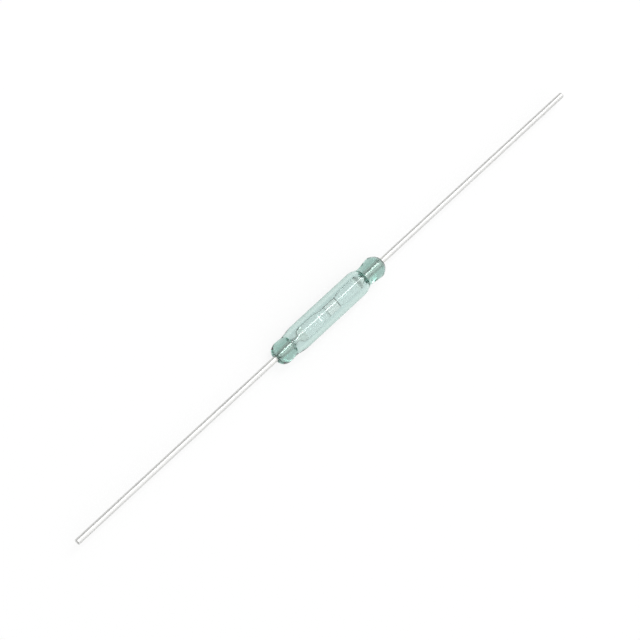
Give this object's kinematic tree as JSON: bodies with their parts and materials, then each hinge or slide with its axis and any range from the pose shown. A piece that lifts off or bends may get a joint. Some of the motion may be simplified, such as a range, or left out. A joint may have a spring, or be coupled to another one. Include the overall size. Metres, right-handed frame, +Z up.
{
  "type": "glass reed switch",
  "caption": "Small sealed glass tube with a straight wire lead at each end; inside, flat overlapping reeds spring together in a magnetic field and close the circuit.",
  "frame": {"origin": "middle of the glass, on the axis of the tube", "axes": "+X along the tube towards the right lead, +Z up from the flats of the reeds, on the side of the left reed"},
  "size_m": [0.0466, 0.0018, 0.0018],
  "materials": {
    "glass": "clear glass with a green tint",
    "tinned_wire": "bright tinned wire",
    "nickel_iron": "satin nickel-iron, plated at the tip"
  },
  "bodies": {
    "switch_body": {"glass_envelope": "glass", "left_lead": "tinned_wire", "right_lead": "tinned_wire"},
    "left_reed_body": {"left_reed": "nickel_iron"},
    "right_reed_body": {"right_reed": "nickel_iron"}
  },
  "joints": [
    {"name": "left_reed_bend", "type": "hinge", "parent": "switch_body", "child": "left_reed_body", "pos_m": [-0.00244, 0, 0.00012], "axis": [0, 1, 0], "range_deg": [0, 0.68], "stiffness_Nm_per_rad": 0.018},
    {"name": "right_reed_bend", "type": "hinge", "parent": "switch_body", "child": "right_reed_body", "pos_m": [0.0025, 0, -0.00012], "axis": [0, 1, 0], "range_deg": [0, 0.68], "stiffness_Nm_per_rad": 0.018}
  ]
}
